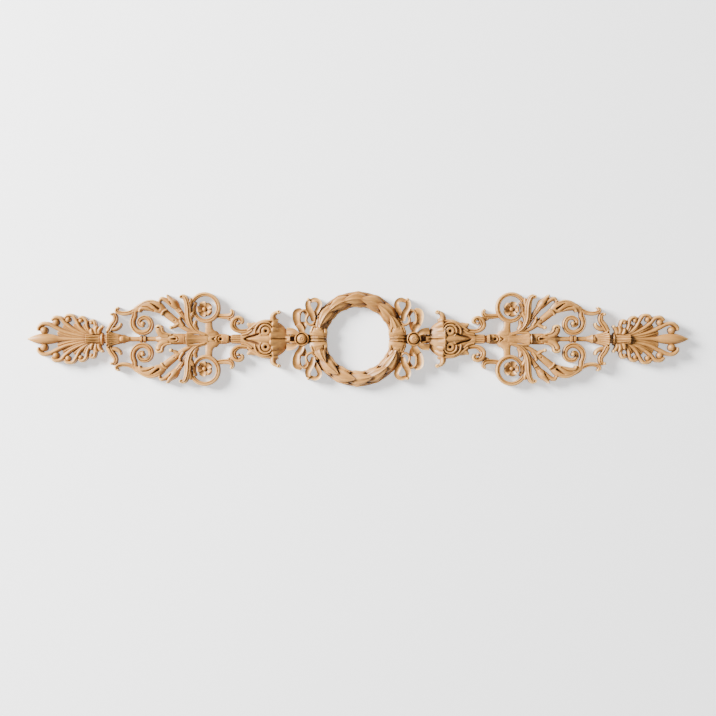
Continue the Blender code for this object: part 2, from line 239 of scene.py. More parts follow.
# The wreath: a round tube under overlapping leaves that run one way round.
wreath = {
    "radius": 39.8, "half": 7.7, "relief": 11.5, "ringSections": 320,
    "groups": 6, "pitch": 25.2, "firstTip": 35.5,
    "lastTip": 174, "tucked": 0.88,         # one more group, lower, runs under the cuff
    # leaf: (radius, drift of its tip, degrees behind the group's tip, length, half width, relief)
    "leaves": [(44.2, 1.2, 8, 26, 3.7, 15.6), (35.2, -1.8, 9, 30, 3.7, 15.6), (39.9, 0, 0, 37, 6.7, 20.6)],
    "leafSections": 62, "leafEnd": 0.12,
    "closing": (1.5, 0.66), "base": 0.4, "bulge": 0.83, "widest": 0.6,      # of a leaf's width
    "root": 0.68, "highest": 0.8,                                           # of a leaf's rise
    "cuff": {"angles": (4.4, 14.6), "halves": (8.5, 9.0, 7.4), "reliefs": (18.6, 20.2, 18.6)},
    "cuffTips": [(34.0, 2.6, 18.6), (39.9, 3.4, 19.6), (45.2, 2.6, 18.2)],
    "cuffTipAngles": (8, 17.5), "cuffTipTaper": 0.7, "cuffTipEnds": (1, 2),
    "band": [(31.4, 0, 3.7, 11), (34.4, 0, 3.7, 16.8), (40, 0, 3.7, 19.4), (45.2, 0, 3.7, 16.8),
             (48.2, 0, 3.7, 11)],
    "fillet": [(30.9, 1.55, 0.75, 12), (34, 1.55, 0.75, 19), (40, 1.55, 0.75, 21.2),
               (45.6, 1.55, 0.75, 19), (48.6, 1.55, 0.75, 12)],
}


def wreathLeaf(radius, drift, tip, length, half, relief):
    # Width = half (base + (1-base) sin(pi bulge t)), with t held from its widest place on, and
    # closed as c (1-t)^k. The relief rises from its root share by a quarter sine, and the leaf
    # lies on an arc of r(t) = radius + drift t^2.
    t = np.linspace(0, 1, wreath["leafSections"])
    closing, power = wreath["closing"]
    belly = np.sin(wreath["bulge"] * np.pi * np.minimum(t, wreath["widest"]))
    width = half * (wreath["base"] + (1 - wreath["base"]) * belly)
    width *= np.minimum(1, closing * (1 - t) ** power)
    climb = np.sin(0.5 * np.pi * np.minimum(1, t / wreath["highest"]))
    rise = relief * (wreath["root"] + (1 - wreath["root"]) * climb)
    a = np.radians(tip - length + length * t)
    r = radius + drift * t**2
    path = np.column_stack([r * np.cos(a), r * np.sin(a), np.maximum(width, wreath["leafEnd"]), rise])
    return carveStroke(path, "leaf", swell=0)


def buildWreath():
    # Leaf group i ends at firstTip + pitch i degrees, again half a turn on. The band, the fillet
    # and the cuff with its three tips are mirrored over both middle lines.
    turn = np.radians(np.linspace(0, 360, wreath["ringSections"], endpoint=False))
    same = np.ones(len(turn))
    ring = np.column_stack([wreath["radius"] * np.cos(turn), wreath["radius"] * np.sin(turn),
                            wreath["half"] * same, wreath["relief"] * same])
    shells = [carveStroke(ring, "soft", closed=True, swell=0)]
    tips = [wreath["firstTip"] + wreath["pitch"] * i for i in range(wreath["groups"])]
    tips.append(wreath["lastTip"])
    for halfTurn in (0, 180):
        for tip in tips:
            low = wreath["tucked"] if tip == wreath["lastTip"] else 1
            for radius, drift, back, length, half, relief in wreath["leaves"]:
                shells.append(wreathLeaf(radius, drift, halfTurn + tip - back, length, half, relief * low))
    quarter = [carveStroke(straightPath(wreath["fillet"], step), "roll", swell=0)]
    quarter.append(carveStroke(easePath(wreath["band"], step), "flat", swell=0))
    cuff = wreath["cuff"]
    sweep = spiralPath((0, 0), cuff["angles"], (wreath["radius"],) * 2, cuff["halves"], cuff["reliefs"], step)
    quarter.append(carveStroke(sweep, "dome", swell=0))
    for radius, half, relief in wreath["cuffTips"]:
        halves = (half, half, half * wreath["cuffTipTaper"])
        tip = spiralPath((0, 0), wreath["cuffTipAngles"], (radius,) * 2, halves, (relief,) * 2, step)
        quarter.append(carveStroke(tip, "dome", wreath["cuffTipEnds"]))
    carving["wreath"] = shells + mirrored(quarter, "xz")


buildWreath()
cuts += [
    [(46.0, 6.4, 0.3, 2), (45.2, 9.0, 0.4, 3), (43.8, 12.0, 0.4, 3)],           # slits in the cuffs
    [(34.2, 6.4, 0.3, 2), (34.0, 8.8, 0.4, 3), (34.8, 11.2, 0.4, 3)],
]
print("wreath shaped")

# The long middle line from the capital's neck to the last tip, turned with crisp steps.
stem = {
    "knots": [(111, 8, 10.5), (117, 5.0, 9.5), (118, 4.2, 10.6), (126.6, 4.2, 10.4), (127.4, 3.7, 10),
              (129, 3.7, 10), (129.4, 4.3, 14.6), (131.6, 4.5, 15.2), (132, 5, 11), (141, 5.2, 11.5),
              (148.6, 5.6, 12), (152, 4.0, 11), (160, 4.0, 11.4), (169.4, 4.6, 13.6), (170, 5.2, 15),
              (173.4, 5.4, 18.2), (174.2, 5.4, 12.2), (183, 5.6, 14.2), (191, 5.1, 13.2), (197, 4.8, 12.4),
              (202.2, 2.4, 9.6), (212, 2.3, 9.6), (212.4, 3.5, 12.4), (214.4, 3.5, 12.6), (214.7, 2.8, 11),
              (215.9, 2.8, 11), (216.2, 3.5, 12.6), (218.2, 3.5, 12.4), (218.6, 2.3, 9.6),
              (228.4, 2.5, 10), (235.2, 3.2, 9.5), (236, 4.4, 11.6), (243, 5.8, 14), (249.4, 8.0, 17.4),
              (251.4, 7.8, 17.8), (252, 4.4, 13.0), (254.6, 4.4, 13.0), (255, 6.3, 14.8), (256, 6.6, 15.6),
              (257, 6.3, 15), (257.4, 5.4, 12), (264, 5.0, 12), (274, 2.0, 12)],
    "trumpet": [(257.0, 6.0, 13.4), (260.5, 8.4, 14.6), (264, 7.4, 16.4), (268, 5.2, 18.8),
                (272.4, 4.4, 20.6)],
    "cone": [(228.6, 2.4, 11.6), (232.0, 3.4, 13.6), (235.0, 4.9, 16)],
    "bud": [(233.6, 3.0, 14.5), (238.6, 2.9, 15.6)],
    "spear": [(272, 1.0, 13.4), (290, 1.7, 14), (298, 2.5, 14.8), (304.6, 4.4, 17), (312, 5.4, 18.8),
              (318, 5.1, 18.8), (324, 3.3, 17), (330.2, 0.4, 13.5)],
    "step": 0.4,
    "turned": [("trumpet", 0.6, 0.6), ("cone", 0, 0.5), ("bud", 0, 2.6)],      # name, round ends
    "waist": 0.38, "ribEnds": (2.5, 1), "ribSwell": 0.1,
    "ribShort": 0.5, "ribFall": (1, 1.2),       # the outer ribs are shorter and lower
    # fan: (first u, last u, half height at each, ribs to a side, half widths, reliefs)
    "fans": [(114.4, 127.4, 3.9, 3.4, 2, (0.8, 0.95), (11.0, 12.0, 13.0)),
             (149.0, 172.4, 2.6, 4.4, 3, (0.62, 1.0), (12.2, 13.2, 18.4)),
             (237.4, 251.6, 3.6, 7.5, 3, (0.8, 1.5), (12.2, 15.4, 20.4))],
}


def buildStem():
    # Strokes along v = 0, each with its own widths, under fans of ribs. Rib k of a fan, from -1
    # to 1 across it, runs at v = k times the fan's half height.
    shells = [carveStroke(straightPath(onMiddle(stem["knots"]), stem["step"]), "soft", swell=0)]
    shells.append(carveStroke(easePath(onMiddle(stem["spear"]), stem["step"]), "soft", swell=0))
    for name, start, end in stem["turned"]:
        path = easePath(onMiddle(stem[name]), stem["step"])
        shells.append(carveStroke(path, "soft", (start, end), swell=0))
    waist, falls = stem["waist"], stem["ribFall"]
    for first, last, low, high, ribs, halves, reliefs in stem["fans"]:
        for k in np.arange(-ribs, ribs + 1) / ribs:
            knots = [
                (first, k * low, halves[0], reliefs[0]),
                ((first + last) / 2, k * ((1 - waist) * low + waist * high),
                 (halves[0] + halves[1]) / 2, reliefs[1] - falls[0] * abs(k)),
                (last - stem["ribShort"] * abs(k), k * high, halves[1], reliefs[2] - falls[1] * abs(k)),
            ]
            shells.append(carveStroke(easePath(knots, step), "roll", stem["ribEnds"], swell=stem["ribSwell"]))
    carving["stem"] = mirrored(shells, "x")


buildStem()
cuts += [
    [(137.3, 0, 1.3, 6), (137.5, 0, 1.3, 6)],                                       # ring eye
    [(137.0, 3.3, 0.5, 2.4), (139.8, 2.4, 0.6, 2.8), (140.9, 0, 0.6, 2.8)],         # its C groove
    [(142.6, 1.9, 0.5, 2.2), (145.4, 0, 0.7, 3.5)],                                 # dart
    [(182.6, 0, 1.1, 5), (185.2, 0, 0.7, 5), (187.2, 0, 0.3, 2)],                   # drop eye
    [(183, 3.0, 0.4, 1.6), (180.2, 2.0, 0.5, 2.2), (179.4, 0, 0.5, 2.2)],
    [(250.0, 6.7, 0.8, 5), (250.1, 6.7, 0.8, 5)],
    [(259, 1.6, 0.4, 1.0), (265, 1.5, 0.5, 1.8), (272, 1.3, 0.5, 2)],               # flutes of the trumpet
    [(259, 4.6, 0.4, 1.0), (265, 3.9, 0.5, 1.8), (272, 3.1, 0.5, 2)],
]
print("middle line shaped")

# The ribbon bow between the wreath and the capital.
bow = {
    "button": (56, 0), "buttonSides": 72,
    "buttonRings": [(7.3, 13.0), (7.3, 15.4), (7.0, 16.9), (6.5, 17.4), (6.0, 16.9), (5.7, 14.6), (5.3, 13.6),
                    (4.9, 14.4), (4.7, 17.0), (4.2, 19.0), (3.2, 20.4), (1.9, 20.9), (1.5, 20.2), (1.1, 20.2),
                    (0.8, 21.1), (0.3, 21.3)],
    "bridge": [(44, 0, 4, 7), (56, 0, 5, 7), (66, 0, 4.5, 7)],
    "bed": [(61, 0, 2.6, 9.5), (68, 0, 3.2, 9.8)],
    "knot": [(68, 0, 4.2, 15.4), (72.4, 0, 3.6, 14)],
    "table": [
        ([(60, 4.8, 1.6, 16.8), (65.2, 7.6, 2.8, 16.6), (71.6, 8.0, 3.2, 14.6)], "hollow", 0, 0.5),
        ([(60.4, 3.0, 0.5, 14.8), (64.6, 3.5, 0.7, 15.6), (68.2, 3.2, 0.7, 15)], "roll", 0, 0.5),
        ([(55.6, 6.4, 2.2, 15), (57.4, 11, 2.9, 15.8), (60.4, 15, 2.6, 15.2)], "hollow", 0, 0.6),
        ([(60.6, 13.4, 2.0, 13.6), (61.7, 20, 3.2, 15.6), (61.2, 26.6, 3.1, 16), (56.4, 30, 1.2, 15)],
         "hollow", 0, 1),
        ([(54.2, 8.4, 0.6, 14), (56.4, 13, 0.75, 16.6), (58.3, 18.4, 0.75, 17.4), (58.3, 23.4, 0.75, 17.6),
          (56.8, 27.2, 0.8, 17.6), (53.5, 28.9, 0.9, 17.6), (50.5, 27.6, 0.9, 17.4), (49.7, 24.6, 0.9, 17.2),
          (51.2, 21.4, 0.9, 17), (51.7, 18.2, 0.9, 17), (49.8, 15.2, 1.0, 17), (46.4, 14.0, 1.0, 17),
          (43.4, 16.2, 0.9, 16)], "roll", 0, 0.8),
        ([(54.8, 8.8, 1.6, 12.6), (54.6, 13.2, 3.0, 13.6), (53.8, 17.4, 2.2, 13.4)], "hollow", 0, 0.8),
        ([(50.6, 21.5, 1.0, 13.6), (51.6, 25.6, 1.7, 13.4), (54, 28, 1.6, 13.6)], "dome", 0, 0.5),
        ([(44.6, 18, 1.7, 14), (46.2, 25, 2.6, 16), (50.0, 32.4, 2.5, 16.4), (49.6, 38.6, 1.8, 17)],
         "hollow", 0, 1),
        ([(48.0, 37.8, 1.4, 14.5), (43.4, 39.3, 1.8, 15.6), (39.8, 38.0, 1.9, 16), (38.3, 34.8, 2.0, 16),
          (39.4, 31.0, 2.1, 16), (41.4, 27.4, 2.0, 15.6), (43.2, 23.6, 1.6, 14)], "hollow", 0, 0),
    ],
    "balls": [((49.5, 39.4), 1.7, 17.6), ((43.4, 17.2), 1.1, 16.4)],
}


def buildBow():
    # The turned boss and what ties it lie on v = 0, and the ribbons are mirrored over it.
    shells = mirrored([
        carveStroke(straightPath(bow["bridge"], step), "flat"),
        carveBoss(bow["button"], bow["buttonRings"], bow["buttonSides"]),
        carveStroke(straightPath(bow["bed"], step), "flat"),
        carveStroke(straightPath(bow["knot"], step), "soft"),
    ], "x")
    quarter = strokes(bow["table"]) + [carveBall(*ball) for ball in bow["balls"]]
    carving["bows"] = shells + mirrored(quarter, "xz")


buildBow()
print("bows shaped")

# The capital: a fluted cup, two round eyes with brows, horns and C scrolls.
capital = {
    "cup": [(71.3, 8.4, 12), (74, 12.2, 13.4), (78, 15.6, 15.6), (83, 17.6, 18), (86.8, 17.6, 20)],
    "body": [(80, 16, 12), (84, 18.6, 14.4), (87, 19.6, 16), (95, 18.6, 16.2),
             (101, 16.6, 15.2), (106, 13.8, 13.8), (110, 11.2, 12.4), (113, 8.0, 12), (117.4, 5.0, 11.6)],
    "tongue": [(86.6, 4.6, 18.6), (90, 4.4, 18.6), (98, 2.8, 17.4), (107, 0.4, 15)],
    "eye": (92, 8), "eyeSides": 44, "bodyStep": 0.5,
    "eyeRings": [(4.4, 15.6), (4.2, 17.0), (3.5, 17.6), (2.6, 17.4), (1.9, 17.4), (1.5, 16.6),
                 (1.3, 12.6), (0.6, 12.4)],
    "browEnds": (1, 1),
    # brows: (angles, radii, half widths, reliefs) round the eye
    "brows": [((168, -58), (6.2, 6.2, 6.4, 6.4), (0.5, 0.9, 0.5), (18.0, 18.4, 16.4)),
              ((150, -20), (8.2, 8.6, 10.0, 11.2), (0.5, 0.95, 0.5), (18.2, 17.8, 15.6))],
    "table": [
        ([(72.4, 1.8, 1.2, 10), (79, 2.7, 2.4, 15.9), (84.6, 3.0, 3.0, 19.4), (88.8, 2.8, 2.9, 21.0)],
         "soft", 0, 2.2),
        ([(73.4, 5.4, 1.2, 10), (79, 7.6, 2.4, 15.4), (83.6, 8.8, 3.0, 18.8), (87.2, 9.2, 2.8, 20.4)],
         "soft", 0, 2.4),
        ([(75, 9.4, 1.2, 10), (79.4, 12.4, 2.4, 14.8), (83.2, 14.4, 3.0, 17.8), (86.6, 15.0, 2.6, 19.6)],
         "soft", 0, 2.4),
        ([(80, 17.6, 2.0, 15), (84.4, 19.2, 3.0, 17.4), (84.4, 24, 2.2, 19), (80.2, 27.4, 1.0, 19)],
         "roll", 0, 0),
        ([(86.4, 18.4, 0.7, 16.6), (94.6, 17.8, 1.2, 17), (101.4, 15.0, 1.2, 16.2), (106.4, 11.4, 1.1, 15),
          (110.4, 8.0, 0.9, 14)], "roll", 0, 0.8),
        ([(97, 14.2, 2.0, 15), (103, 13.2, 3.2, 15), (107.4, 13.4, 2.6, 14.6), (110.8, 15.6, 0.7, 14)],
         "soft", 1, 0.6),
        ([(105.4, 9.2, 0.6, 14.6), (110.4, 5.6, 0.9, 14.2), (116.6, 4.2, 0.8, 13.2)], "roll", 0.5, 0.5),
        ([(109, 8.4, 1.8, 12.2), (119, 8.0, 1.9, 12.8), (124.8, 12.4, 2.7, 14.8), (124.2, 18.2, 2.5, 16.2),
          (120.2, 20.9, 2.1, 16.4), (116.9, 20.0, 2.0, 16.2), (115.9, 17.6, 1.7, 15.8),
          (117.6, 15.4, 1.2, 15.4)], "beaded", 0, 0.8),
        ([(141, 23.4, 2.0, 12.5), (134, 22.6, 2.3, 13), (127.6, 23.2, 2.3, 14.6), (125.4, 26.6, 1.6, 15),
          (127.2, 29.8, 0.9, 14.6)], "beaded", 0, 0.8),
        ([(131, 21.4, 1.2, 12.6), (128.2, 19.8, 1.5, 13.6), (124.6, 20.4, 1.0, 13.4)], "roll", 0, 0.8),
    ],
    "balls": [((79.2, 27.0), 2.0, 20.4), ((119.8, 15.6), 1.6, 16.8)],
}


def buildCapital():
    # Body, cup and tongue lie on v = 0. The brows are arcs round the eye, mirrored with the rest.
    shells = mirrored([
        carveStroke(easePath(onMiddle(capital["body"]), capital["bodyStep"]), "dome"),
        carveStroke(easePath(onMiddle(capital["cup"]), step), "dome"),
        carveStroke(straightPath(onMiddle(capital["tongue"]), step), "soft"),
    ], "x")
    eye = capital["eye"]
    quarter = [carveBoss(eye, capital["eyeRings"], capital["eyeSides"])]
    for angles, radii, halves, reliefs in capital["brows"]:
        brow = spiralPath(eye, angles, radii, halves, reliefs, step)
        quarter.append(carveStroke(brow, "roll", capital["browEnds"]))
    quarter += strokes(capital["table"]) + [carveBall(*ball) for ball in capital["balls"]]
    carving["capitals"] = shells + mirrored(quarter, "xz")


buildCapital()
cuts += [
    [(92, 8, 1.3, 4), (92.1, 8, 1.3, 4)],                                                   # pupil
    [(97.0, 5.9, 0.5, 2), (101, 4.3, 1.0, 4.4), (106, 2.7, 1.0, 4.4), (110, 1.7, 0.9, 4),
     (113.4, 0, 0.8, 3.4)],
    [(71, 0, 0.6, 3), (80, 0, 0.5, 3), (86, 0, 0.4, 2)],
    [(85.6, 11.6, 0.6, 2.6), (88.2, 14.8, 0.7, 3), (93.6, 15.6, 0.4, 1.2)],
    [(78.9, 27.1, 0.7, 3.4), (79.0, 27.1, 0.7, 3.4)],
    [(120.0, 17.2, 0.7, 4), (120.0, 19.4, 0.6, 4)],
    [(128.2, 20.0, 0.6, 3), (128.3, 20.0, 0.6, 3)],
]
print("capitals shaped")

# The open ring with its five-petalled rosette, and the leaves and stems that spring beside it.
sideRing = {
    "centre": (153.3, 31.3), "angles": (24, 262, 395), "radii": (13.6, 13.5, 9.8),
    "halves": (1.7, 1.9, 1.1), "reliefs": (14.6, 14, 12.6),
    "ringEnds": (1, 2.5),
    "rosette": (153.5, 29.8), "petals": 5, "petalStep": 0.35, "petalEnds": (0, 1.8),
    "bed": [(7.0, 6), (6.4, 7.4), (2.0, 8)], "bedSides": 48, "heartSides": 24,
    "petal": [(1.6, 1.0, 10.2), (4.4, 2.6, 12.4), (7.9, 3.2, 14.8)],       # radius, half width, relief
    "heart": [(2.1, 10.5), (2.0, 12.8), (1.5, 14.0), (0.7, 14.4)],
    "table": [
        ([(149.4, 18.6, 3.0, 12.8), (149.2, 13.0, 2.9, 13.2), (148.8, 9.4, 3.5, 12.8),
          (148.2, 6.8, 5.0, 12.4), (147.4, 4.6, 7.4, 11.6), (147.0, 1.6, 9.6, 10.4)], "dome", 0, 0),
        ([(151, 4.2, 1.4, 12.4), (160.4, 7.0, 1.7, 13.4), (166.6, 13, 2.4, 14.6), (169.4, 21, 3.0, 16),
          (169.9, 30, 3.1, 17), (171.0, 37, 2.5, 17.6), (173.4, 42, 2.1, 18), (176.8, 42.6, 1.3, 17.6)],
         "leaf", 0.5, 1),
        ([(168.8, 19, 2.2, 14.8), (166.2, 24.2, 2.1, 15.8), (163.8, 26.6, 1.0, 15.2)], "veined", 0, 0.8),
        ([(169.4, 31, 2.0, 16), (167.4, 36.4, 2.0, 16.4), (166.8, 41, 0.9, 15.6)], "veined", 0, 0.8),
        ([(160.4, 8.6, 1.6, 13.2), (163.2, 13.4, 2.2, 14.4), (161.8, 18.8, 1.0, 14.4)], "veined", 0.5, 0.8),
        ([(163.6, 7.4, 1.0, 12), (169.4, 14.4, 1.4, 13), (175.4, 23.4, 2.0, 14), (181.0, 31.0, 2.7, 14.6)],
         "veined", 0, 0),
        ([(180.2, 30.4, 2.6, 14.6), (184.4, 35.6, 4.2, 17.6), (188.4, 40.6, 2.0, 16.6),
          (190.6, 44, 0.8, 15.8)], "roll", 1, 0.6),
        ([(186.4, 33.6, 1.5, 15), (191.4, 38.4, 1.9, 16), (196, 40.4, 1.6, 16.6),
          (198.6, 37.6, 1.0, 16)], "roll", 0, 0.8),
        ([(164.6, 6.4, 1.4, 12), (173, 10.6, 2.0, 13), (180.6, 16.4, 2.7, 14), (188.4, 22.6, 3.2, 14.8),
          (194.4, 27.4, 3.4, 15)], "soft", 0, 0),
        ([(174.6, 13.2, 2.0, 14), (177.2, 17.2, 1.5, 15), (177.9, 20.4, 0.9, 15.4)], "roll", 0, 0.6),
        ([(179.0, 15.6, 2.2, 14.4), (183.0, 12.8, 1.5, 15), (186.4, 11.4, 0.9, 15.4)], "roll", 0, 0.6),
        ([(152.6, 4.2, 0.7, 13.4), (162, 6.0, 0.9, 14), (171.6, 5.6, 0.9, 15)], "roll", 0.5, 0.5),
    ],
    "collar": [(179.0, 26.6, 0.5, 15.2), (176.0, 28.4, 0.5, 15.2)], "collarStep": 0.3,
    "balls": [((176.6, 42.2), 2.0, 19), ((178.0, 20.8), 1.6, 17), ((186.8, 11.3), 1.8, 17),
              ((190.4, 43.4), 1.2, 16.8), ((198.2, 37.6), 1.4, 17.4)],
}


def buildSideRing():
    # Petal k points at 360 k / petals degrees from the rosette's centre, at the petal's radii.
    r = sideRing
    ring = spiralPath(r["centre"], r["angles"], r["radii"], r["halves"], r["reliefs"], step)
    quarter = [
        carveStroke(ring, "beaded", r["ringEnds"]),
        carveBoss(r["rosette"], r["bed"], r["bedSides"]),
        carveBoss(r["rosette"], r["heart"], r["heartSides"]),
    ]
    for turn in np.radians(np.arange(r["petals"]) * 360 / r["petals"]):
        knots = [(r["rosette"][0] + d * math.cos(turn), r["rosette"][1] + d * math.sin(turn), half, relief)
                 for d, half, relief in r["petal"]]
        quarter.append(carveStroke(easePath(knots, r["petalStep"]), "hollow", r["petalEnds"]))
    quarter += strokes(r["table"])
    quarter.append(carveStroke(straightPath(r["collar"], r["collarStep"]), "roll"))
    quarter += [carveBall(*ball) for ball in r["balls"]]
    carving["sideRings"] = mirrored(quarter, "xz")


buildSideRing()
cuts += [
    [(186.6, 34.8, 0.6, 3.2), (188.2, 37.4, 0.4, 2.8)],
    [(176.3, 42.0, 0.9, 4.6), (176.5, 42.0, 0.9, 4.6)],
    [(183.2, 18.4, 0.5, 2.8), (183.4, 18.6, 0.5, 2.8)],
]
print("side rings shaped")

# The bell husk, the big volute and the leaves that close the wing.
scrolls = {
    "volute": (215, 15.3), "lead": [(219, 31, 2.2, 14.5), (223, 27.6, 2.2, 15)],
    "angles": (40, -470), "radii": (11.2, 9.4, 8.7, 7.4, 5.2, 3.2, 1.8),
    "halves": (2.2, 2.4, 2.3, 2.1, 1.7, 1.4, 1.0), "reliefs": (15, 14.6, 14, 14, 15, 17, 18),
    "voluteEnds": (0, 0.6),
    "table": [
        ([(193.6, 27.2, 3.2, 14), (200, 31.6, 5.4, 17), (208, 34.0, 4.6, 17.4), (216, 32.6, 3.2, 16.4),
          (223, 29.2, 2.2, 15)], "dome", 0.8, 0),
        ([(190.6, 29.6, 0.8, 16.6), (194.2, 27.4, 0.9, 18), (196.6, 23.4, 0.8, 16.8)], "roll", 0.6, 0.6),
        ([(197, 35.0, 0.7, 16.6), (205, 38.0, 0.9, 17.8), (213, 36.8, 0.9, 17.4), (221, 31.6, 0.8, 16)],
         "roll", 0.5, 0.5),
        ([(204, 28.4, 1.4, 16.4), (210, 30.6, 2.2, 17.6), (216.4, 30.4, 2.0, 17.4),
          (218.6, 26.6, 1.1, 16.6)], "roll", 0.5, 0.8),
        ([(222, 29.4, 1.8, 14.6), (229, 26.2, 1.8, 15), (236, 25.6, 1.8, 15.6), (241.2, 27.8, 1.5, 16.2),
          (240.6, 31.6, 1.0, 16)], "beaded", 0, 0.8),
        ([(190, 2.2, 2.4, 13.6), (195.6, 4.2, 3.0, 14.6), (198.8, 8.2, 2.9, 16.2),
          (198.8, 11.4, 2.4, 17.6)], "soft", 0, 1.6),
        ([(186, 4.4, 0.6, 14.2), (191.6, 5.4, 0.8, 15), (195.0, 8.0, 0.9, 16.6), (196.2, 12.0, 1.0, 18),
          (199.4, 13.0, 1.0, 18.4), (202.0, 11.0, 0.9, 17.4)], "roll", 0.4, 0.6),
        ([(249.4, 7.6, 2.4, 16), (246.4, 13.4, 2.5, 16), (242.9, 18.4, 2.1, 16), (242.8, 23.0, 1.8, 16.4),
          (245.8, 25.4, 1.4, 16)], "beaded", 0, 0.6),
        ([(247.4, 9.6, 2.0, 14.8), (242.4, 10.2, 2.0, 15.2), (238.4, 12.6, 1.5, 15.2),
          (237.0, 16.2, 0.9, 14.8)], "roll", 0, 0.8),
    ],
    "balls": [((246.2, 24.7), 1.4, 17.4), ((239.7, 31.2), 1.2, 16.8), ((214.8, 15.4), 2.1, 19.6)],
}


def buildScrolls():
    # The volute is an eased lead into a spiral whose radius shrinks as its angle turns.
    c = scrolls
    turn = spiralPath(c["volute"], c["angles"], c["radii"], c["halves"], c["reliefs"], step)
    volute = np.vstack([easePath(c["lead"] + [tuple(turn[0])], step)[:-1], turn])
    quarter = [carveStroke(volute, "beaded", c["voluteEnds"], flip=True)]
    quarter += strokes(c["table"]) + [carveBall(*ball) for ball in c["balls"]]
    carving["scrolls"] = mirrored(quarter, "xz")


buildScrolls()
cuts += [
    # a drop eye
    [(198.8, 30.2, 1.1, 5), (201.6, 32.2, 0.9, 5), (205.0, 34.6, 0.5, 3.6), (207.0, 35.4, 0.3, 1.6)],
    [(203.2, 28.2, 0.5, 2.4), (209.4, 31.6, 0.5, 2.4), (214.6, 32.4, 0.4, 1.4)],
]
print("scrolls shaped")

# The palmette at each end: ribs that curl over small balls, darts between them, on a thinner web.
palmette = {
    "web": [(262, 5.6, 5, 11.8), (272, 6.2, 4.8, 12), (282, 5.6, 3.8, 11.8), (291, 5.2, 1.8, 11.4)],
    "webHalves": (1.6, 3.5, 2.3), "webRelief": 11.8, "ribEnds": (0, 0.8),
    "lobes": [
        [(271, 2.0, 0.9, 13.4), (290, 6.2, 1.6, 14.8), (300, 10.6, 1.9, 15.8), (308, 14.6, 1.8, 17),
         (314.4, 15.2, 1.8, 17.6), (318.8, 11.8, 1.6, 17), (319.2, 8.0, 0.9, 16)],
        [(270, 3.2, 0.9, 13.4), (284, 9.6, 1.5, 14.8), (292, 15.6, 1.8, 15.6), (296.6, 20.6, 1.7, 16.6),
         (302.2, 21.6, 1.6, 17), (306.2, 18.4, 1.0, 16)],
        [(269, 4.4, 0.9, 13.4), (277.4, 11.2, 1.5, 14.8), (281.4, 18.4, 1.7, 15.8), (285, 23.2, 1.5, 16.2),
         (290.4, 23.4, 1.3, 16.2), (293.4, 20.2, 0.9, 15.4)],
        [(267.8, 5.6, 1.0, 13.6), (270.6, 12.4, 1.4, 14.8), (271.6, 18.4, 1.5, 15.4),
         (275.4, 21.8, 1.3, 15.6), (279.6, 20.4, 0.8, 15)],
        [(265, 7.6, 1.4, 14), (262.6, 13.2, 1.4, 14.8), (264.2, 18.2, 1.3, 15.2), (268.6, 17.8, 0.8, 14.8)],
    ],
    "darts": [
        [(272.4, 0.9, 0.5, 13), (288, 3.0, 1.4, 14.2), (300.6, 6.6, 0.7, 13)],
        [(270.6, 2.6, 0.5, 13), (283, 7.0, 1.4, 14.2), (295.2, 13.2, 0.7, 12.8)],
        [(269.6, 3.8, 0.5, 13), (276.6, 8.8, 1.3, 14.2), (284.2, 15.0, 0.7, 12.8)],
        [(268.4, 5.0, 0.5, 13), (271.4, 9.4, 1.1, 14.2), (274.0, 14.8, 0.6, 13)],
    ],
    "balls": [((313.6, 8.6), 3.9, 18), ((301.8, 16.6), 3.5, 17), ((289.6, 19.4), 2.8, 16.4),
              ((276.9, 18.4), 2.2, 15.8), ((266.4, 16.2), 1.8, 15.4), ((255.6, 12.3), 1.5, 15.6)],
    "cup": [
        ([(259.4, 4.4, 2.2, 13.8), (258.8, 8.6, 2.1, 14.8), (256.4, 11.8, 1.3, 15.2)], "roll", 0.4, 0.6),
        ([(261.4, 4.6, 2.4, 14.6), (262.2, 9.4, 2.3, 15.6), (260.6, 13.4, 1.0, 15.2)], "roll", 0.4, 0.8),
        ([(264.4, 4.0, 2.2, 16), (266.2, 7.2, 2.0, 16.8), (266.2, 10.6, 0.9, 16)], "roll", 0.4, 0.8),
    ],
}


def buildPalmette():
    # Under every dart runs a flat stroke along the same knots, at the web's widths and relief.
    ends = palmette["ribEnds"]
    quarter = [carveStroke(easePath(palmette["web"], step), "flat")]
    for knots in palmette["darts"]:
        thin = [(u, v, half, palmette["webRelief"])
                for (u, v, *rest), half in zip(knots, palmette["webHalves"])]
        quarter.append(carveStroke(easePath(thin, step), "flat", ends))
    quarter += [carveStroke(easePath(knots, step), "roof", ends) for knots in palmette["darts"]]
    quarter += [carveStroke(easePath(knots, step), "roll", ends) for knots in palmette["lobes"]]
    quarter += [carveBall(*ball) for ball in palmette["balls"]] + strokes(palmette["cup"])
    carving["palmettes"] = mirrored(quarter, "xz")


buildPalmette()
print("palmettes shaped")


def gouge(verts, knots):
    # d is the distance to the line in the folded quarter, and the cut is depth exp(-(d/width)^3),
    # worked out within two widths of the line.
    line = easePath(knots, layout["gougeStep"])
    u, v = np.abs(verts[:, 0]), np.abs(verts[:, 1])
    reach = 2 * line[:, 2].max()
    low, high = line.min(0) - reach, line.max(0) + reach
    inside = (u > low[0]) & (u < high[0]) & (v > low[1]) & (v < high[1])
    near = np.flatnonzero(inside & (verts[:, 2] > layout["gougeFrom"]))
    if len(near):
        d = np.hypot(u[near, None] - line[:, 0], v[near, None] - line[:, 1])
        k = d.argmin(1)
        depth = line[k, 3] * np.exp(-((d.min(1) / line[k, 2]) ** 3))
        verts[near, 2] = np.maximum(verts[near, 2] - depth, layout["gougeFloor"])


def planeDown(verts):
    # Nothing stands higher than the solid's own highest point.
    verts[:, 2] = np.minimum(verts[:, 2], layout["highest"])


